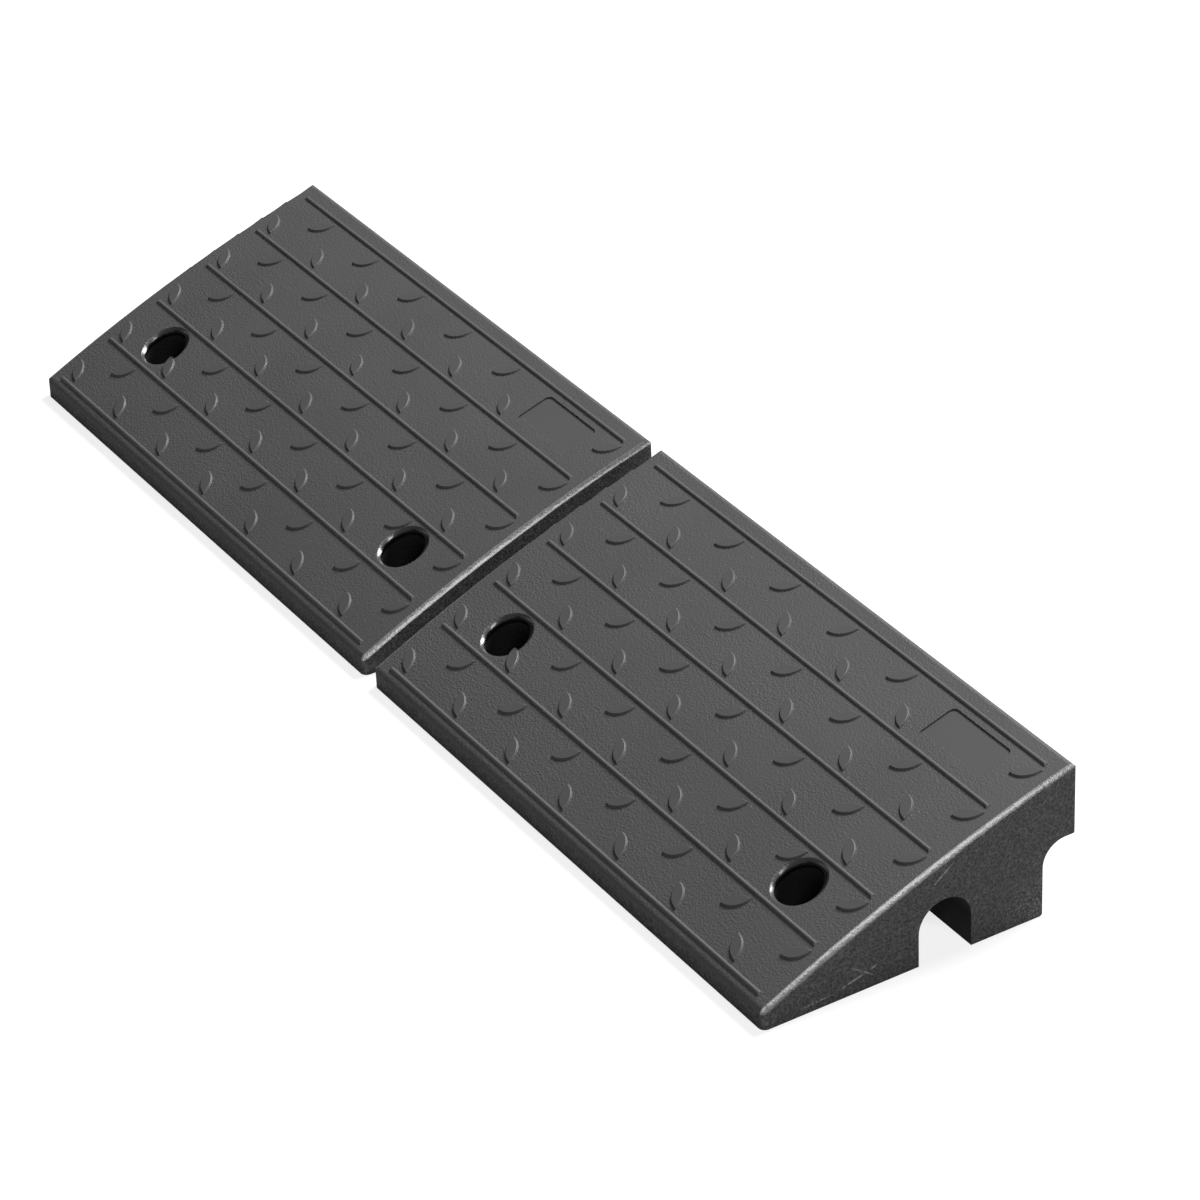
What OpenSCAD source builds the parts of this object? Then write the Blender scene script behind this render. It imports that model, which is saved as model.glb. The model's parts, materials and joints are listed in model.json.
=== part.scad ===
// A pair of solid rubber kerb ramps, laid end to end along a kerb.
// X runs along the kerb, Y from the road to the kerb and Z up. The origin is on the ground,
// under the middle of the pair. Each ramp is one moulding: a crowned tread with six raised
// ribs and a chequer of leaf-shaped bumps, two sunk bolt holes, a drain arch underneath and
// an overhang at the kerb.

/* [Ramp] */
// Length of one ramp along the kerb
ramp_len = 500; // [400:5:700]
// Depth of a ramp from the road edge to the kerb face
ramp_depth = 250; // [235:1:280]
// Height at the kerb, where the crown would meet the kerb face if that edge were sharp
ramp_h = 112; // [95:1:130]
// Height of the square lip at the road edge
lip_h = 15; // [11:0.5:20]
// Radius of the crown that the tread follows from lip to kerb
crown_r = 1420; // [900:10:3000]
// Free space between the two ramps, end to end
pair_gap = 14; // [2:1:60]

/* [Edges] */
// Rounding along the top edge of the lip
lip_round = 6; // [1:0.5:8]
// Rounding along the top edge at the kerb
kerb_round = 4; // [1:0.5:6]
// Rounding along the crest at each end of a ramp
crest_round = 3.5; // [1:0.5:6]
// Rounding of the two upright corners at the road
front_corner = 5; // [2:0.5:10]
// Rounding of the two upright corners at the kerb
rear_corner = 2.5; // [1:0.5:6]
// Rounding along the foot of the rear wall and the toe of the overhang
foot_round = 2; // [0.5:0.5:4]

/* [Drain arch] */
// Clear width of the arch between its walls
arch_w = 42; // [25:1:60]
// Height of the arch walls up to where the vault springs
arch_wall = 25; // [10:1:28]
// Distance from the road edge to the middle of the arch
arch_y = 144; // [130:1:165]

/* [Overhang] */
// How far the overhang stands out from the rear wall
overhang = 27; // [20:1:36]
// Height of the underside of the overhang above the ground
overhang_h = 56.5; // [40:0.5:65]
// Radius of the hollow between the rear wall and the overhang
hollow_r = 18; // [6:1:20]

/* [Ribs] */
// Ribs across the tread, from the lip to the kerb
rib_count = 6; // [4:1:6]
// Distance along the tread from the lip to the front foot of the first rib
rib_first = 6.5; // [5:0.5:12]
// Distance along the tread from one rib to the next
rib_pitch = 48.95; // [42:0.05:49]
// Width of a rib at the tread
rib_w = 3.8; // [3:0.1:6]
// Height of the ribs above the tread
rib_h = 1.5; // [0.8:0.1:2.5]
// Lean of the flanks of the ribs, away from square to the tread
rib_draft = 35; // [5:1:50]
// Plain tread between the end of a rib and the end of the ramp
rib_end = 13.5; // [8:0.5:30]

/* [Leaves] */
// Leaves of each kind along one lane
leaf_count = 7; // [3:1:7]
// Length of a leaf from tip to tip, at the tread
leaf_len = 23.5; // [16:0.5:27]
// Width of a leaf across its middle, at the tread
leaf_w = 9.8; // [6:0.2:12]
// Height of the leaves above the tread
leaf_h = 1.4; // [0.8:0.1:2.5]
// Lean of the flanks of the leaves, away from square to the tread
leaf_draft = 28; // [5:1:50]
// Rounding along the top edge of the leaves
leaf_round = 0.6; // [0.2:0.1:0.8]
// Turn of the leaves from the line of the ribs
leaf_turn = 45; // [30:1:60]
// Distance from the end of the ramp to the middle of the first leaf of a row
leaf_end = 19.5; // [18:0.5:40]
// Distance between the two rows of leaves in a lane
row_step = 22.8; // [16:0.2:24]
// Distance at the end of a lane from the first leaf of one row to the last of the other, along the ribs
row_shift = 39; // [30:1:50]
// Least distance from the middle of a leaf to the middle of a bolt hole
leaf_keepout = 20; // [18:1:24]

/* [Bolt holes] */
// Bore of the sunk part, which takes the bolt head, its washer and a socket
bore_d = 33.5; // [26:0.5:36]
// Hole for the bolt under the sunk part
bolt_d = 14; // [9:0.5:18]
// Rubber left under the bolt head
seat_h = 18; // [10:1:28]
// Rounding at the mouth of the sunk part
mouth_round = 2.5; // [1:0.5:3]
// Distance from the end of the ramp to a bolt hole
hole_end = 66; // [50:1:100]

/* [Blank panel] */
// Length of the smooth sunk panel along the ribs
panel_len = 66; // [40:1:80]
// Width of the panel along the tread
panel_w = 32.5; // [20:0.5:34]
// Depth of the panel below the tread
panel_deep = 1.2; // [0.4:0.1:2]
// Corner radius of the panel
panel_r = 4.5; // [2:0.5:8]
// Distance from the panel to the last rib
panel_gap = 5; // [3:0.5:8]
// Distance from the middle of the panel to the end of the ramp
panel_end = 74.5; // [70:0.5:160]

/* [Hidden] */
rubber = [0.22, 0.22, 0.23];
// Lane that holds the bolt holes, counted from the lip
hole_lane = 2;

// Overlap that keeps cuts and joined pieces clear of shared faces
over = 2;
// How deep a rib or leaf is rooted in the tread, past the rounding of a bolt hole's mouth
root = mouth_round + 0.5;
// Sides of a full turn: large arcs, middling bores and small roundings
fine = 720;
round_fn = 96;
small_fn = 48;

// The crown, seen from the end: its chord, the slope at the lip and its centre
chord_up = ramp_h - lip_h;
chord = sqrt(pow(ramp_depth, 2) + pow(chord_up, 2));
slope_front = atan(chord_up / ramp_depth) + asin(chord / (2 * crown_r));
crown_y = crown_r * sin(slope_front);
crown_z = lip_h - crown_r * cos(slope_front);

rear_wall = ramp_depth - overhang;
rib_len = ramp_len - 2 * rib_end;
rib_foot = [for (i = [0:rib_count - 1]) rib_first + i * rib_pitch];
lane_clear = rib_pitch - rib_w;
lane_mid = rib_w + lane_clear / 2;
hole_s = rib_foot[hole_lane - 1] + lane_mid;
hole_x = ramp_len / 2 - hole_end;
panel_x = ramp_len / 2 - panel_end;
panel_s = rib_foot[rib_count - 1] - panel_gap - panel_w / 2;
leaf_first = ramp_len / 2 - leaf_end;
leaf_pitch = (2 * leaf_first - row_shift) / (leaf_count - 1);
pair_step = (ramp_len + pair_gap) / 2;

// Slope of the tread, and the point on it, at a distance s along it from the lip
function slope(s) = slope_front - s / crown_r * 180 / PI;
function tread_y(s) = crown_y - crown_r * sin(slope(s));
function tread_z(s) = crown_z + crown_r * cos(slope(s));

// Height of the centre of a rounding of radius r that touches the crown from inside
function round_z(y, r) = crown_z + sqrt(pow(crown_r - r, 2) - pow(crown_y - y, 2));

function far_from_holes(x, s) =
    norm([abs(x) - hole_x, s - hole_s]) > leaf_keepout;
function clear_of_panel(x, s) =
    abs(x - panel_x) > (panel_len + leaf_w) / 2 || abs(s - panel_s) > (panel_w + leaf_w) / 2;

// Places a child on the tread, with its Z square to the tread and its Y up the slope
module on_tread(x, s) {
    translate([x, tread_y(s), tread_z(s)])
        rotate([slope(s), 0, 0])
            children();
}

// Sweeps an end view, drawn as depth and height, along the kerb
module along_kerb(length) {
    rotate([90, 0, 90])
        linear_extrude(length, center = true)
            children();
}

// What a rounding takes off a square corner that points to +X and +Y
module corner_off(r) {
    difference() {
        translate([-r, -r])
            square(r + over);
        translate([-r, -r])
            circle(r, $fn = small_fn);
    }
}

// What a rounding takes off where the crown meets an upright face at y; side is -1 or 1
module crown_edge_off(y, r, side) {
    c = [y - side * r, round_z(y - side * r, r)];
    out = (c - [crown_y, crown_z]) / (crown_r - r) * (r + over);
    difference() {
        polygon([c, c + [side * (r + over), 0], c + [side * (r + over), out.y + over], c + out]);
        translate(c)
            circle(r, $fn = small_fn);
    }
}

// The drain arch: upright walls under a half-round vault
module arch_view() {
    translate([arch_y - arch_w / 2, -over])
        square([arch_w, arch_wall + over]);
    translate([arch_y, arch_wall])
        circle(d = arch_w, $fn = round_fn);
}

// The space behind the rear wall, with its hollow inner corner
module hollow_view() {
    difference() {
        translate([rear_wall, -over])
            square([overhang + over, overhang_h + over]);
        translate([rear_wall + hollow_r, overhang_h - hollow_r])
            mirror([1, 0])
                difference() {
                    square(hollow_r + over);
                    circle(hollow_r, $fn = round_fn);
                }
    }
}

// End view of the ramp
module ramp_view() {
    difference() {
        intersection() {
            square([ramp_depth, ramp_h + over]);
            translate([crown_y, crown_z])
                circle(crown_r, $fn = fine);
        }
        arch_view();
        hollow_view();
        crown_edge_off(0, lip_round, -1);
        crown_edge_off(ramp_depth, kerb_round, 1);
        translate([rear_wall, 0])
            mirror([0, 1])
                corner_off(foot_round);
        translate([ramp_depth, overhang_h])
            mirror([0, 1])
                corner_off(foot_round);
    }
}

// What the rounding along the crest takes off at the end that faces +X
module crest_off() {
    translate([0, crown_y, crown_z])
        rotate([0, 90, 0])
            rotate_extrude($fn = fine)
                translate([crown_r, ramp_len / 2])
                    corner_off(crest_round);
}

// What an upright corner loses; quadrant is the side of X and of Y that it faces
module upright_off(x_side, y, y_side, r) {
    translate([x_side * ramp_len / 2, y, -over])
        mirror([x_side < 0 ? 1 : 0, 0, 0])
            mirror([0, y_side < 0 ? 1 : 0, 0])
                linear_extrude(ramp_h + 2 * over)
                    corner_off(r);
}

module blank() {
    difference() {
        along_kerb(ramp_len)
            ramp_view();
        for (side = [-1, 1]) {
            mirror([side < 0 ? 1 : 0, 0, 0])
                crest_off();
            upright_off(side, 0, -1, front_corner);
            upright_off(side, ramp_depth, 1, rear_corner);
        }
    }
}

// What a rounding takes off the upper corner p of a flank that faces right and leans by draft
module shoulder_off(p, r, draft) {
    c = p - r * [tan((90 - draft) / 2), 1];
    out = r + over;
    difference() {
        polygon([c, c + [0, out], c + [out, out], c + out * [cos(draft), sin(draft)]]);
        translate(c)
            circle(r, $fn = small_fn);
    }
}

// End view of a rib: leaning flanks that run into a round top
module rib_end_view() {
    lean = tan(rib_draft);
    top_r = (rib_w / 2 - rib_h * lean) / tan((90 - rib_draft) / 2);
    top_mid = [0, rib_h - top_r];
    foot = rib_w / 2 + root * lean;
    flank_top = top_mid + top_r * [cos(rib_draft), sin(rib_draft)];
    polygon([[-foot, -root], [foot, -root], flank_top, [-flank_top.x, flank_top.y]]);
    translate(top_mid)
        circle(top_r, $fn = small_fn);
}

// Side view of a rib: its ends lean and have round shoulders, which start above its top
module rib_side_view() {
    half = rib_len / 2;
    lean = tan(rib_draft);
    top = 1.3 * rib_h;
    shoulder_r = 2 * rib_h;
    difference() {
        polygon([[-half - root * lean, -root], [half + root * lean, -root],
                 [half - top * lean, top], [-half + top * lean, top]]);
        for (side = [0, 1])
            mirror([side, 0])
                shoulder_off([half - top * lean, top], shoulder_r, rib_draft);
    }
}

// A rib, its front foot on the line of its place
module rib() {
    translate([0, rib_w / 2, 0])
        intersection() {
            along_kerb(rib_len + 4 * root)
                rib_end_view();
            rotate([90, 0, 0])
                linear_extrude(4 * rib_w, center = true)
                    rib_side_view();
        }
}

// A leaf: what two leaning rounds share, which is a lens with a flat top
module leaf(turn) {
    half_w = leaf_w / 2;
    side_r = (pow(leaf_len / 2, 2) + pow(half_w, 2)) / (2 * half_w);
    rotate([0, 0, turn])
        intersection() {
            leaf_side(side_r, side_r - half_w);
            leaf_side(side_r, half_w - side_r);
        }
}

// One side of a leaf, as a leaning round whose top edge is rounded
module leaf_side(r, offset_y) {
    lean = tan(leaf_draft);
    top_r = r - leaf_h * lean;
    translate([0, offset_y, 0])
        rotate_extrude($fn = round_fn)
            difference() {
                polygon([[0, -root], [r + root * lean, -root], [top_r, leaf_h], [0, leaf_h]]);
                shoulder_off([top_r, leaf_h], leaf_round, leaf_draft);
            }
}

// One lane of leaves: a row of each kind, each row starting from its own end
module lane(foot) {
    front_row = foot + lane_mid - row_step / 2;
    rear_row = foot + lane_mid + row_step / 2;
    for (i = [0:leaf_count - 1]) {
        x = leaf_first - i * leaf_pitch;
        if (far_from_holes(x, front_row) && clear_of_panel(-x, front_row))
            on_tread(-x, front_row)
                leaf(-leaf_turn);
        if (far_from_holes(x, rear_row) && clear_of_panel(x, rear_row))
            on_tread(x, rear_row)
                leaf(leaf_turn);
    }
}

// Rounding of a bolt hole's mouth, square to the tread
module mouth_off(x) {
    mouth_r = bore_d / 2 / cos(slope(hole_s));
    on_tread(x, hole_s)
        rotate_extrude($fn = round_fn)
            difference() {
                translate([0, -mouth_round])
                    square([mouth_r + mouth_round, mouth_round + over]);
                translate([mouth_r + mouth_round, -mouth_round])
                    circle(mouth_round, $fn = small_fn);
            }
}

// The upright bolt hole: a sunk part for the head over a hole for the bolt
module bolt_hole(x) {
    translate([x, tread_y(hole_s), seat_h])
        cylinder(h = ramp_h, d = bore_d, $fn = round_fn);
    translate([x, tread_y(hole_s), -over])
        cylinder(h = seat_h + 2 * over, d = bolt_d, $fn = round_fn);
}

// The blank panel near the right-hand end
module panel_off() {
    on_tread(panel_x, panel_s)
        translate([0, 0, -panel_deep])
            linear_extrude(panel_deep + over)
                difference() {
                    square([panel_len, panel_w], center = true);
                    for (a = [-1, 1])
                        for (b = [-1, 1])
                            scale([a, b])
                                translate([panel_len / 2, panel_w / 2])
                                    corner_off(panel_r);
                }
}

module ramp() {
    color(rubber)
        difference() {
            union() {
                difference() {
                    blank();
                    mouth_off(-hole_x);
                    mouth_off(hole_x);
                }
                for (foot = rib_foot)
                    on_tread(0, foot)
                        rib();
                for (i = [0:rib_count - 2])
                    lane(rib_foot[i]);
            }
            bolt_hole(-hole_x);
            bolt_hole(hole_x);
            panel_off();
        }
}

module ramp_right() {
    translate([pair_step, -ramp_depth / 2, 0])
        ramp();
}

module ramp_left() {
    translate([-pair_step, -ramp_depth / 2, 0])
        ramp();
}

ramp_right();
ramp_left();
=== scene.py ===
"""A pair of black rubber kerb ramps, laid end to end on a white studio floor."""
import json
import math

import bpy
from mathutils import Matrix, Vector


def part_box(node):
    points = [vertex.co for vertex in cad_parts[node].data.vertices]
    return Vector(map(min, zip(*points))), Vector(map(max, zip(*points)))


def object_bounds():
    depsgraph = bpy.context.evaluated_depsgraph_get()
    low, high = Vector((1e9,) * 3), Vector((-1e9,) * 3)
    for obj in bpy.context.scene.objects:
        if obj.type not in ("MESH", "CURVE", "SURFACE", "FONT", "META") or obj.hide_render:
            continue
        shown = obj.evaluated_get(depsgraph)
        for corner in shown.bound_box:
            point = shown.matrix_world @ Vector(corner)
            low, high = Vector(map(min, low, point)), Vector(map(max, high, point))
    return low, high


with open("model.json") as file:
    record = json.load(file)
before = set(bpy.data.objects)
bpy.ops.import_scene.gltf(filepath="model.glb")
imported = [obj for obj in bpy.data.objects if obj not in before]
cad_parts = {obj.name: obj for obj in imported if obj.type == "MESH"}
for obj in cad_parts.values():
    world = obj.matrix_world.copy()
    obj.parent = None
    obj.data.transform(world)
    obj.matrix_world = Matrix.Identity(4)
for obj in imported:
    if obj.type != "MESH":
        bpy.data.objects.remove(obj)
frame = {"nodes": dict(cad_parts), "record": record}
cad_low, cad_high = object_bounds()
scene = bpy.context.scene
scene.view_settings.view_transform = "Standard"

# The camera.
# It stands 3.7 m off, above the near right-hand end, and has a long lens, so the pair runs
# from the lower right of the picture to the upper left with little perspective.
CAMERA_PLACE = (2.6864, -1.5395, 1.9674)
CAMERA_TURN_DEG = (57.8, 2.067, 57.761)
LENS_MM = 151.2
SENSOR_MM = 36

camera_data = bpy.data.cameras.new("camera")
camera_data.lens = LENS_MM
camera_data.sensor_width = SENSOR_MM
camera = bpy.data.objects.new("camera", camera_data)
camera.location = CAMERA_PLACE
camera.rotation_euler = [math.radians(angle) for angle in CAMERA_TURN_DEG]
scene.collection.objects.link(camera)
scene.camera = camera

# The two ramps.
# Each is one pressing of rubber crumb and binder in a closed mould, 500 mm long and 250 mm
# deep. Both come from one mould, so a place on a ramp is measured from its own middle.
MM = 0.001
ramp_low, ramp_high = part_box("ramp_right")
RAMP_STEP = (ramp_low.x + ramp_high.x) / 2
HALF_LEN = (ramp_high.x - ramp_low.x) / 2
ROAD_Y, KERB_Y = ramp_low.y, ramp_high.y

# The crown of the tread is part of a cylinder along X. It leaves the square lip at the road
# edge and would meet the kerb face at full height, were that edge sharp.
CROWN_R = 1420 * MM
LIP_H = 15 * MM
FULL_H = 112 * MM
depth = KERB_Y - ROAD_Y
rise = FULL_H - LIP_H
lip_slope = math.atan2(rise, depth) + math.asin(math.hypot(depth, rise) / (2 * CROWN_R))
CROWN_Y = ROAD_Y + CROWN_R * math.sin(lip_slope)
CROWN_Z = LIP_H - CROWN_R * math.cos(lip_slope)

# The bolt holes, from the record, and the drain arch.
bolts = next(mount for mount in frame["record"]["mounts"] if mount["name"] == "right_bolts")
BOLT_X = bolts["dims"]["spacing_x_mm"] / 2 * MM
BOLT_Y = bolts["pos_m"][1]
hole_slope = math.asin((CROWN_Y - BOLT_Y) / CROWN_R)
HOLE_UP = (0, -math.sin(hole_slope), math.cos(hole_slope))
HOLE_Z = CROWN_Z + CROWN_R * math.cos(hole_slope)
POCKET_R = 18 * MM
ARCH_Y = 19 * MM
ARCH_WALL = 25 * MM
ARCH_R = 21.05 * MM


def linear(hex_colour):
    """An sRGB hex colour, such as #4A4A4B, as linear red, green, blue and alpha."""
    parts = [int(hex_colour[i:i + 2], 16) / 255 for i in (1, 3, 5)]
    return [p / 12.92 if p <= 0.04045 else ((p + 0.055) / 1.055) ** 2.4 for p in parts] + [1.0]


def add_node(tree, kind, inputs=None, output=0, **settings):
    """Adds a node, sets its properties, feeds its inputs and gives back one of its outputs."""
    node = tree.nodes.new(kind)
    for name, value in settings.items():
        setattr(node, name, value)
    for key, value in (inputs or {}).items():
        if isinstance(value, bpy.types.NodeSocket):
            tree.links.new(value, node.inputs[key])
        else:
            node.inputs[key].default_value = value
    return node.outputs[output]


# The node kinds that come up most. A STEP runs from input 1 to input 2, and gives 0 and 1
# there, or its inputs 3 and 4 where they are set.
MATHS = "ShaderNodeMath"
STEP = "ShaderNodeMapRange"
MIX = "ShaderNodeMix"
NOISE = "ShaderNodeTexNoise"
CELLS = "ShaderNodeTexVoronoi"
VECTOR = "ShaderNodeVectorMath"

# Black vulcanised crumb rubber, as it comes from the mould. The eye sees a soft grey sheen on
# the grained tread, dull granular ends, and rubbed, shiny crests.
rubber = bpy.data.materials.new("black_rubber_moulded")
rubber.use_nodes = True
tree = rubber.node_tree
shader = tree.nodes["Principled BSDF"]
shader.inputs["IOR"].default_value = 1.5
shader.inputs["Specular IOR Level"].default_value = 0.5

# Where a point lies: along its own ramp, short of the ramp's end, and above the crown.
place = add_node(tree, "ShaderNodeTexCoord", output="Object")
x = add_node(tree, "ShaderNodeSeparateXYZ", {0: place})
y, z = x.node.outputs[1], x.node.outputs[2]
side = add_node(tree, MATHS, {0: x}, operation="SIGN")
along = add_node(tree, MATHS, {0: side, 1: -RAMP_STEP, 2: x}, operation="MULTIPLY_ADD")
from_mid = add_node(tree, MATHS, {0: along}, operation="ABSOLUTE")
to_end = add_node(tree, MATHS, {0: HALF_LEN, 1: from_mid}, operation="SUBTRACT")
in_section = add_node(tree, "ShaderNodeCombineXYZ", {1: y, 2: z})
spoke = add_node(tree, VECTOR, {0: in_section, 1: (0, CROWN_Y, CROWN_Z)}, output="Value",
                 operation="DISTANCE")
above_crown = add_node(tree, MATHS, {0: spoke, 1: CROWN_R}, operation="SUBTRACT")

# Where each finish is: 1 on the tread, in the blank panel, on the smooth ribs and leaves, along
# the crests, and in the pockets and the arch, which are coloured near-black as painted shade.
on_tread = add_node(tree, STEP, {0: above_crown, 1: -3.4 * MM, 2: -1.2 * MM})
PANEL_X = 175.5 * MM
PANEL_HALF_LEN = 33.2 * MM
PANEL_Y = 96 * MM
PANEL_HALF_W = 19 * MM
in_panel_x = add_node(tree, MATHS, {0: along, 1: PANEL_X, 2: PANEL_HALF_LEN}, operation="COMPARE")
in_panel_y = add_node(tree, MATHS, {0: y, 1: PANEL_Y, 2: PANEL_HALF_W}, operation="COMPARE")
sunk = add_node(tree, STEP, {0: above_crown, 1: -0.5 * MM, 2: -1.0 * MM})
on_panel = add_node(tree, MATHS, {0: in_panel_x, 1: in_panel_y}, operation="MULTIPLY")
on_panel = add_node(tree, MATHS, {0: on_panel, 1: sunk}, operation="MULTIPLY")
proud = add_node(tree, STEP, {0: above_crown, 1: 0.1 * MM, 2: 0.5 * MM})
smooth = add_node(tree, MATHS, {0: proud, 1: on_panel}, operation="MAXIMUM")
grained = add_node(tree, MATHS, {0: on_tread, 1: smooth}, operation="SUBTRACT", use_clamp=True)
plain = add_node(tree, MATHS, {0: 1.0, 1: on_tread}, operation="SUBTRACT")

CREST_W = 4.5 * MM
near_end = add_node(tree, STEP, {0: to_end, 1: CREST_W, 2: 0.5 * CREST_W})
near_top = add_node(tree, STEP, {0: above_crown, 1: -1.1 * CREST_W, 2: -0.5 * CREST_W})
CORNER_W = 5 * MM
near_road = add_node(tree, STEP, {0: y, 1: ROAD_Y + CORNER_W, 2: ROAD_Y + 0.6 * CORNER_W})
top_or_corner = add_node(tree, MATHS, {0: near_top, 1: near_road}, operation="MAXIMUM")
on_crest = add_node(tree, MATHS, {0: near_end, 1: top_or_corner}, operation="MULTIPLY")

# The bolt holes lie alike at both ends, so both are found on one folded half.
hole_middle = add_node(tree, "ShaderNodeCombineXYZ", {0: BOLT_X, 1: BOLT_Y})
folded = add_node(tree, "ShaderNodeCombineXYZ", {0: from_mid, 1: y})
from_hole = add_node(tree, VECTOR, {0: folded, 1: hole_middle}, output="Value", operation="DISTANCE")
in_hole = add_node(tree, MATHS, {0: from_hole, 1: POCKET_R}, operation="LESS_THAN")
MOUTH_W = 2.2 * MM
MOUTH_DEEP = 6 * MM
at_mouth = add_node(tree, STEP, {0: from_hole, 1: POCKET_R + MOUTH_W, 2: POCKET_R + 0.7 * MM})
at_rim = add_node(tree, STEP, {0: above_crown, 1: -MOUTH_DEEP, 2: -4 * MM})
at_mouth = add_node(tree, MATHS, {0: at_mouth, 1: at_rim}, operation="MULTIPLY")
below_mouth = add_node(tree, STEP, {0: above_crown, 1: -0.4 * MM, 2: -1.6 * MM})
in_pocket = add_node(tree, MATHS, {0: in_hole, 1: below_mouth}, operation="MULTIPLY")

# The arch is a slot with a round top, so only the height above its straight walls counts.
above_wall = add_node(tree, MATHS, {0: z, 1: ARCH_WALL}, operation="SUBTRACT", use_clamp=True)
arch_point = add_node(tree, "ShaderNodeCombineXYZ", {1: y, 2: above_wall})
from_arch = add_node(tree, VECTOR, {0: arch_point, 1: (0, ARCH_Y, 0)}, output="Value", operation="DISTANCE")
in_arch = add_node(tree, MATHS, {0: from_arch, 1: ARCH_R}, operation="LESS_THAN")
# Painted shade: the pockets and the arch get a near-black colour where shade falls.
painted_shade_hollows = add_node(tree, MATHS, {0: in_pocket, 1: in_arch}, operation="MAXIMUM")
on_edge = add_node(tree, MATHS, {0: on_crest, 1: at_mouth}, operation="MAXIMUM")
grained = add_node(tree, MATHS, {0: grained, 1: on_edge}, operation="SUBTRACT", use_clamp=True)
granular = add_node(tree, MATHS, {0: plain, 1: on_edge}, operation="SUBTRACT", use_clamp=True)

# Leather grain of the mould, with wrinkles about 1.6 mm apart. It is crisp at the road edge
# and at the left end, and worn faint towards the kerb and the right end.
GRAIN = 1.6 * MM
GRAIN_DEEP = 0.45
WRINKLE_MEAN = 0.35
DRIFT_STEP = 5 * MM
drift = add_node(tree, NOISE, {"Vector": place, "Scale": 1 / DRIFT_STEP, "Detail": 1.0}, output="Color")
bent = add_node(tree, VECTOR, {0: drift, 1: (GRAIN, GRAIN, GRAIN), 2: place}, operation="MULTIPLY_ADD")
wrinkle = add_node(tree, CELLS, {"Vector": bent, "Scale": 1 / GRAIN, "Smoothness": 0.5},
                   output="Distance", feature="SMOOTH_F1")
worn_y = add_node(tree, STEP, {0: y, 1: ROAD_Y, 2: KERB_Y, 3: 1.0, 4: 0.6})
worn_x = add_node(tree, STEP, {0: along, 1: -HALF_LEN, 2: HALF_LEN, 3: 1.0, 4: 0.7})
PATCH_STEP = 60 * MM
patchy = add_node(tree, NOISE, {"Vector": place, "Scale": 1 / PATCH_STEP, "Detail": 2.0})
patchy = add_node(tree, STEP, {0: patchy, 1: 0.3, 2: 0.7, 3: 0.6, 4: 1.2})
grain_depth = add_node(tree, MATHS, {0: worn_y, 1: worn_x}, operation="MULTIPLY")
grain_depth = add_node(tree, MATHS, {0: grain_depth, 1: patchy}, operation="MULTIPLY")
grain_depth = add_node(tree, MATHS, {0: grain_depth, 1: grained}, operation="MULTIPLY")
grain_depth = add_node(tree, MATHS, {0: grain_depth, 1: GRAIN_DEEP}, operation="MULTIPLY")
wrinkle = add_node(tree, MATHS, {0: wrinkle, 1: WRINKLE_MEAN}, operation="SUBTRACT")
height = add_node(tree, MATHS, {0: wrinkle, 1: grain_depth}, operation="MULTIPLY")

# Rubber crumb shows on the plain walls: grains of 1 to 3 mm, some of them paler.
CRUMB = 2.4 * MM
CRUMB_DEEP = 0.6
crumb_tone = add_node(tree, CELLS, {"Vector": place, "Scale": 1 / CRUMB}, output="Color")
crumb = add_node(tree, NOISE, {"Vector": place, "Scale": 1 / (0.7 * CRUMB), "Detail": 3.0})
crumb_depth = add_node(tree, MATHS, {0: granular, 1: CRUMB_DEEP}, operation="MULTIPLY")
crumb_height = add_node(tree, MATHS, {0: crumb, 1: 0.5}, operation="SUBTRACT")
height = add_node(tree, MATHS, {0: crumb_height, 1: crumb_depth, 2: height}, operation="MULTIPLY_ADD")

# The crests are nibbled where ramps are dragged and stacked, which breaks their shine up.
NIBBLE = 3.4 * MM
CREST_DEEP = 0.12
nibble = add_node(tree, NOISE, {"Vector": place, "Scale": 1 / NIBBLE, "Detail": 2.0, "Roughness": 0.6})
crest_depth = add_node(tree, MATHS, {0: on_crest, 1: CREST_DEEP}, operation="MULTIPLY")
height = add_node(tree, MATHS, {0: nibble, 1: crest_depth, 2: height}, operation="MULTIPLY_ADD")

# The roundings along the crests and round the bolt holes' mouths are rubbed towards a flat
# bevel: the normal of the true arc is drawn towards the one halfway round it.
WORN_FLAT = 0.88
MOUTH_FLAT = 0.8
CREST_R = 3.5 * MM
MOUTH_ROUND = 2.5 * MM
BORE_R = 16.75 * MM
MOUTH_R = BORE_R / math.cos(hole_slope) + MOUTH_ROUND
crown_up = add_node(tree, VECTOR, {0: in_section, 1: (0, CROWN_Y, CROWN_Z)}, operation="SUBTRACT")
crown_up = add_node(tree, VECTOR, {0: crown_up}, operation="NORMALIZE")
crest_out = add_node(tree, MATHS, {0: CREST_R, 1: to_end}, operation="SUBTRACT")
crest_up = add_node(tree, MATHS, {0: above_crown, 1: CREST_R}, operation="ADD")
crest_up = add_node(tree, VECTOR, {0: crown_up, "Scale": crest_up}, operation="SCALE")
crest_out = add_node(tree, "ShaderNodeCombineXYZ", {0: crest_out})
crest_normal = add_node(tree, VECTOR, {0: crest_up, 1: crest_out}, operation="ADD")
crest_normal = add_node(tree, VECTOR, {0: crest_normal}, operation="NORMALIZE")
crest_bevel = add_node(tree, VECTOR, {0: crown_up, 1: (1, 0, 0)}, operation="ADD")
crest_normal = add_node(tree, MIX, {0: WORN_FLAT, 4: crest_normal, 5: crest_bevel}, output=1,
                        data_type="VECTOR")
round_crest = add_node(tree, MATHS, {0: to_end, 1: CREST_R}, operation="LESS_THAN")
at_top = add_node(tree, MATHS, {0: above_crown, 1: -0.9 * CREST_R}, operation="GREATER_THAN")
round_crest = add_node(tree, MATHS, {0: round_crest, 1: at_top}, operation="MULTIPLY")

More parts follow.
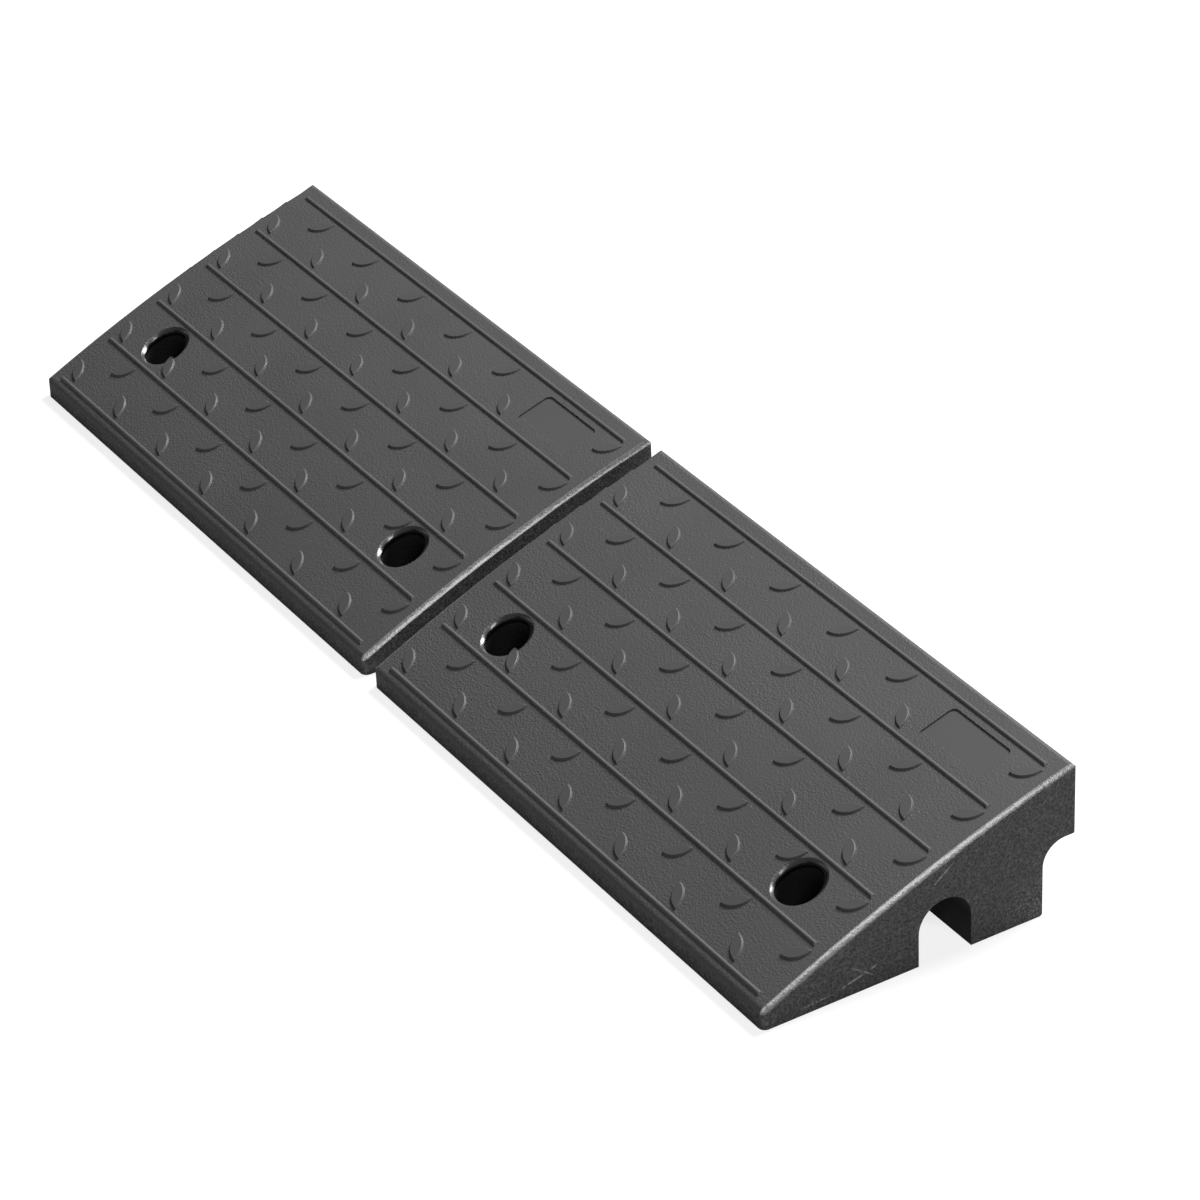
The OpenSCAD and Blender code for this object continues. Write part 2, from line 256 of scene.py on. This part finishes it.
folded_place = add_node(tree, "ShaderNodeCombineXYZ", {0: from_mid, 1: y, 2: z})
off_hole = add_node(tree, VECTOR, {0: folded_place, 1: (BOLT_X, BOLT_Y, HOLE_Z)}, operation="SUBTRACT")
hole_up = add_node(tree, VECTOR, {0: off_hole, 1: HOLE_UP}, output="Value", operation="DOT_PRODUCT")
lifted = add_node(tree, VECTOR, {0: HOLE_UP, "Scale": hole_up}, operation="SCALE")
outward = add_node(tree, VECTOR, {0: off_hole, 1: lifted}, operation="SUBTRACT")
mouth_reach = add_node(tree, VECTOR, {0: outward}, output="Value", operation="LENGTH")
inward = add_node(tree, MATHS, {0: mouth_reach, 1: MOUTH_R}, operation="SUBTRACT")
outward = add_node(tree, VECTOR, {0: outward}, operation="NORMALIZE")
mouth_bevel = add_node(tree, VECTOR, {0: HOLE_UP, 1: outward}, operation="SUBTRACT")
outward = add_node(tree, VECTOR, {0: outward, "Scale": inward}, operation="SCALE")
mouth_up = add_node(tree, MATHS, {0: hole_up, 1: MOUTH_ROUND}, operation="ADD")
mouth_up = add_node(tree, VECTOR, {0: HOLE_UP, "Scale": mouth_up}, operation="SCALE")
mouth_normal = add_node(tree, VECTOR, {0: outward, 1: mouth_up}, operation="ADD")
mouth_normal = add_node(tree, VECTOR, {0: mouth_normal}, operation="NORMALIZE")
mouth_normal = add_node(tree, MIX, {0: MOUTH_FLAT, 4: mouth_normal, 5: mouth_bevel}, output=1,
                        data_type="VECTOR")
round_mouth = add_node(tree, MATHS, {0: mouth_reach, 1: MOUTH_R}, operation="LESS_THAN")
shallow = add_node(tree, MATHS, {0: hole_up, 1: -0.9 * MOUTH_ROUND}, operation="GREATER_THAN")
round_mouth = add_node(tree, MATHS, {0: round_mouth, 1: shallow}, operation="MULTIPLY")

rounded = add_node(tree, MIX, {0: round_mouth, 4: crest_normal, 5: mouth_normal}, output=1,
                   data_type="VECTOR")
rounded = add_node(tree, VECTOR, {0: rounded}, operation="NORMALIZE")
hand = add_node(tree, MATHS, {0: along}, operation="SIGN")
unfold = add_node(tree, "ShaderNodeCombineXYZ", {0: hand, 1: 1.0, 2: 1.0})
rounded = add_node(tree, VECTOR, {0: rounded, 1: unfold}, operation="MULTIPLY")
in_round = add_node(tree, MATHS, {0: round_crest, 1: round_mouth}, operation="MAXIMUM")
normal = add_node(tree, "ShaderNodeNewGeometry", output="Normal")
normal = add_node(tree, MIX, {0: in_round, 4: normal, 5: rounded}, output=1, data_type="VECTOR")
bump = add_node(tree, "ShaderNodeBump",
                {"Strength": 1.0, "Distance": MM, "Height": height, "Normal": normal})
tree.links.new(bump, shader.inputs["Normal"])

# Scratches and scuffs on the near end face, and a painted highlight on its front corner, as
# strokes in its plane: the two ends of each, as distance behind the ramp's middle line and
# height, its half width, and how pale it is.
STROKES_MM = [
    ((26.9, 73.0), (4.6, 55.9), 0.8, 0.9),
    ((-95.9, 5.3), (-68.5, 7.2), 1.0, 0.6),
    ((-68.5, 7.2), (-40.8, 14.0), 1.1, 0.7),
    ((-40.8, 14.0), (-32.9, 17.1), 1.0, 0.7),
    ((-56.5, 22.2), (-36.9, 8.3), 0.9, 0.6),
    # A painted highlight: a pale upright streak on the rounded front corner.
    ((-124.5, 4.5), (-124.0, 8.5), 1.4, 0.9),
]
scuffs_and_corner_highlight = 0.0
for start, end, half_width, strength in STROKES_MM:
    run, climb = end[0] - start[0], end[1] - start[1]
    middle = (0, (start[0] + end[0]) / 2 * MM, (start[1] + end[1]) / 2 * MM)
    half_size = (1, math.hypot(run, climb) / 2 * MM, half_width * MM)
    in_stroke = add_node(tree, "ShaderNodeMapping",
                         {"Vector": in_section, "Location": middle, "Scale": half_size,
                          "Rotation": (math.atan2(climb, run), 0, 0)}, vector_type="TEXTURE")
    reach = add_node(tree, VECTOR, {0: in_stroke}, output="Value", operation="LENGTH")
    stroke = add_node(tree, STEP, {0: reach, 1: 1.0, 2: 0.5, 3: 0.0, 4: strength})
    scuffs_and_corner_highlight = add_node(tree, MATHS, {0: stroke, 1: scuffs_and_corner_highlight}, operation="MAXIMUM")
SCUFF_IN = 3 * MM
near_face = add_node(tree, MATHS, {0: x, 1: cad_high.x - SCUFF_IN}, operation="GREATER_THAN")
scuffs_and_corner_highlight = add_node(tree, MATHS, {0: scuffs_and_corner_highlight, 1: near_face}, operation="MULTIPLY")
BREAK_STEP = 2.2 * MM
broken = add_node(tree, NOISE, {"Vector": place, "Scale": 1 / BREAK_STEP, "Detail": 2.0})
broken = add_node(tree, STEP, {0: broken, 1: 0.38, 2: 0.55})
scuffs_and_corner_highlight = add_node(tree, MATHS, {0: scuffs_and_corner_highlight, 1: broken}, operation="MULTIPLY")

# The rear foot of that face stood on grit, which rubbed some of its crumbs pale.
FOOT = (0, 90 * MM, 10 * MM)
FOOT_REACH = 30 * MM
GRIT = 1.6 * MM
from_foot = add_node(tree, VECTOR, {0: in_section, 1: FOOT}, output="Value", operation="DISTANCE")
at_foot = add_node(tree, STEP, {0: from_foot, 1: FOOT_REACH, 2: 0.2 * FOOT_REACH})
grit = add_node(tree, NOISE, {"Vector": place, "Scale": 1 / GRIT, "Detail": 1.0})
grit = add_node(tree, STEP, {0: grit, 1: 0.56, 2: 0.68, 3: 0.0, 4: 0.5})
grit = add_node(tree, MATHS, {0: grit, 1: at_foot}, operation="MULTIPLY")
grit = add_node(tree, MATHS, {0: grit, 1: near_face}, operation="MULTIPLY")
scuffs_and_corner_highlight = add_node(tree, MATHS, {0: scuffs_and_corner_highlight, 1: grit}, operation="MAXIMUM")

# Colour: carbon-black rubber, a little paler in clouds, with pale crumbs, scuffs and dust, painted
# shade in the pockets and the arch, and painted highlights on the crests and one front corner.
BLACK = "#4C4C4C"
CLOUD = "#484848"
WALL = "#585858"
WALL_DEEP = "#323232"
PAINTED_SHADE_BLACK = "#0B0B0B"
PALE_CRUMB = "#6A6A69"
PALE_CREST_AND_HIGHLIGHT = "#808080"
SCUFF_AND_HIGHLIGHT = "#B4B4B2"
DUST = "#9A9A98"
CLOUD_STEP = 70 * MM
cloud = add_node(tree, NOISE, {"Vector": place, "Scale": 1 / CLOUD_STEP, "Detail": 3.0})
cloud = add_node(tree, STEP, {0: cloud, 1: 0.3, 2: 0.7})
tone = add_node(tree, MIX, {0: cloud, 6: linear(CLOUD), 7: linear(BLACK)}, output=2, data_type="RGBA")
mottle = add_node(tree, STEP, {0: crumb, 1: 0.4, 2: 0.6})
wall = add_node(tree, MIX, {0: mottle, 6: linear(WALL_DEEP), 7: linear(WALL)}, output=2, data_type="RGBA")
tone = add_node(tree, MIX, {0: plain, 6: tone, 7: wall}, output=2, data_type="RGBA")
pale = add_node(tree, "ShaderNodeSeparateColor", {0: crumb_tone})
pale = add_node(tree, STEP, {0: pale, 1: 0.75, 2: 1.0, 3: 0.0, 4: 0.6})
pale = add_node(tree, MATHS, {0: pale, 1: plain}, operation="MULTIPLY")
tone = add_node(tree, MIX, {0: pale, 6: tone, 7: linear(PALE_CRUMB)}, output=2, data_type="RGBA")
# Painted shade: near-black colour in the pockets and the arch.
tone = add_node(tree, MIX, {0: painted_shade_hollows, 6: tone, 7: linear(PAINTED_SHADE_BLACK)}, output=2, data_type="RGBA")

# The crests are painted paler in patches, alike at both ends, and most towards the road: partly
# wear where wheels climb over them, and partly a painted highlight that stands in for their shine.
crest_wear_and_highlight = add_node(tree, STEP, {0: nibble, 1: 0.35, 2: 0.6, 3: 0.45, 4: 1.0})
crest_wear_and_highlight = add_node(tree, MATHS, {0: crest_wear_and_highlight, 1: round_crest}, operation="MULTIPLY")
WHEEL_REACH = 60 * MM
wear_and_highlight_to_road = add_node(tree, STEP, {0: y, 1: ROAD_Y + WHEEL_REACH, 2: KERB_Y, 3: 1.0, 4: 0.5})
crest_wear_and_highlight = add_node(tree, MATHS, {0: crest_wear_and_highlight, 1: wear_and_highlight_to_road}, operation="MULTIPLY")
# Crest wear together with painted highlight.
tone = add_node(tree, MIX, {0: crest_wear_and_highlight, 6: tone, 7: linear(PALE_CREST_AND_HIGHLIGHT)}, output=2, data_type="RGBA")
# Scuffs, and the painted highlight on the front corner.
tone = add_node(tree, MIX, {0: scuffs_and_corner_highlight, 6: tone, 7: linear(SCUFF_AND_HIGHLIGHT)}, output=2, data_type="RGBA")

# Specks of dust, under 1 mm across, on one cell in four of a 9 mm spread.
DUST_STEP = 9 * MM
DUST_SHARE = 0.25
speck = add_node(tree, CELLS, {"Vector": place, "Scale": 1 / DUST_STEP}, output="Distance")
lot = add_node(tree, "ShaderNodeSeparateColor", {0: speck.node.outputs["Color"]})
dusty = add_node(tree, MATHS, {0: lot, 1: 1 - DUST_SHARE}, operation="GREATER_THAN")
speck = add_node(tree, STEP, {0: speck, 1: 0.06, 2: 0.03, 3: 0.0, 4: 0.6})
speck = add_node(tree, MATHS, {0: speck, 1: dusty}, operation="MULTIPLY")
tone = add_node(tree, MIX, {0: speck, 6: tone, 7: linear(DUST)}, output=2, data_type="RGBA")
tree.links.new(tone, shader.inputs["Base Color"])

# Roughness: the walls are dull, the tread and what stands proud of it soft, the edges rubbed.
TREAD_ROUGH = 0.55
WALL_ROUGH = 0.65
PROUD_ROUGH = 0.5
EDGE_ROUGH = 0.2
rough = add_node(tree, MIX, {0: plain, 2: TREAD_ROUGH, 3: WALL_ROUGH})
rough = add_node(tree, MIX, {0: proud, 2: rough, 3: PROUD_ROUGH})
rough = add_node(tree, MIX, {0: on_edge, 2: rough, 3: EDGE_ROUGH})
tree.links.new(rough, shader.inputs["Roughness"])

for node in frame["nodes"].values():
    for material_slot in node.material_slots:
        material_slot.material = rubber

# The floor.
# White studio paper, which keeps the ramps' shadow. To the eye it is lifted to white, and in
# what shines to a share of that; the light that it throws back on the rubber stays plain.
PAPER = "#9A9A9A"
FLOOR_HALF = 4
FLOOR_DROP = 0.2 * MM
floor_z = cad_low.z - FLOOR_DROP
floor_data = bpy.data.meshes.new("floor")
corners = [(a * FLOOR_HALF, b * FLOOR_HALF, floor_z) for a, b in ((-1, -1), (1, -1), (1, 1), (-1, 1))]
floor_data.from_pydata(corners, [], [(0, 1, 2, 3)])
floor = bpy.data.objects.new("floor", floor_data)
scene.collection.objects.link(floor)

SHEEN = 0.15


def white_seen(tree):
    """How much white each ray sees: all for the eye and through glass, a share in what shines."""
    path = add_node(tree, "ShaderNodeLightPath").node.outputs
    glossy = add_node(tree, MATHS, {0: path["Is Glossy Ray"], 1: SHEEN}, operation="MULTIPLY")
    eye_or_shine = add_node(tree, MATHS, {0: path["Is Camera Ray"], 1: glossy}, operation="MAXIMUM")
    return add_node(tree, MATHS, {0: eye_or_shine, 1: path["Is Transmission Ray"]}, operation="MAXIMUM")


# Matt paper, which gives no shine of its own.
paper = bpy.data.materials.new("studio_paper_matt")
paper.use_nodes = True
tree = paper.node_tree
paper_shader = tree.nodes["Principled BSDF"]
paper_shader.inputs["Base Color"].default_value = linear(PAPER)
paper_shader.inputs["Roughness"].default_value = 0.9
paper_shader.inputs["Specular IOR Level"].default_value = 0.0
LIFT = 0.78
seen = white_seen(tree)
lift = add_node(tree, MATHS, {0: seen, 1: LIFT}, operation="MULTIPLY")
paper_shader.inputs["Emission Color"].default_value = (1, 1, 1, 1)
tree.links.new(lift, paper_shader.inputs["Emission Strength"])
floor_data.materials.append(paper)

# The studio.
# A large soft box behind the ramps leaves the faces towards the road dark. A wide, low strip
# light on the right shines in the worn crests and the rims of the bolt holes.
world = bpy.data.worlds.new("studio")
world.use_nodes = True
scene.world = world
tree = world.node_tree
background = tree.nodes["Background"]
AMBIENT = 0.03
seen = white_seen(tree)
strength = add_node(tree, MATHS, {0: seen, 1: AMBIENT}, operation="MAXIMUM")
tree.links.new(strength, background.inputs["Strength"])
background.inputs["Color"].default_value = (1, 1, 1, 1)

# Each lamp: azimuth from +X towards +Y, elevation, width, height, watts.
LAMP_DISTANCE = 6.0
LAMPS = {
    "back_box": (100, 52, 2.3, 2.3, 620),
    "strip_light": (-4, 45, 2.4, 0.8, 118),
}
for name, (azimuth, elevation, width, tall, watts) in LAMPS.items():
    lamp_data = bpy.data.lights.new(name, "AREA")
    lamp_data.shape = "RECTANGLE"
    lamp_data.size = width
    lamp_data.size_y = tall
    lamp_data.energy = watts
    lamp = bpy.data.objects.new(name, lamp_data)
    a, e = math.radians(azimuth), math.radians(elevation)
    towards = Vector((math.cos(e) * math.cos(a), math.cos(e) * math.sin(a), math.sin(e)))
    lamp.location = LAMP_DISTANCE * towards
    lamp.rotation_euler = (-lamp.location).to_track_quat("-Z", "Y").to_euler()
    scene.collection.objects.link(lamp)
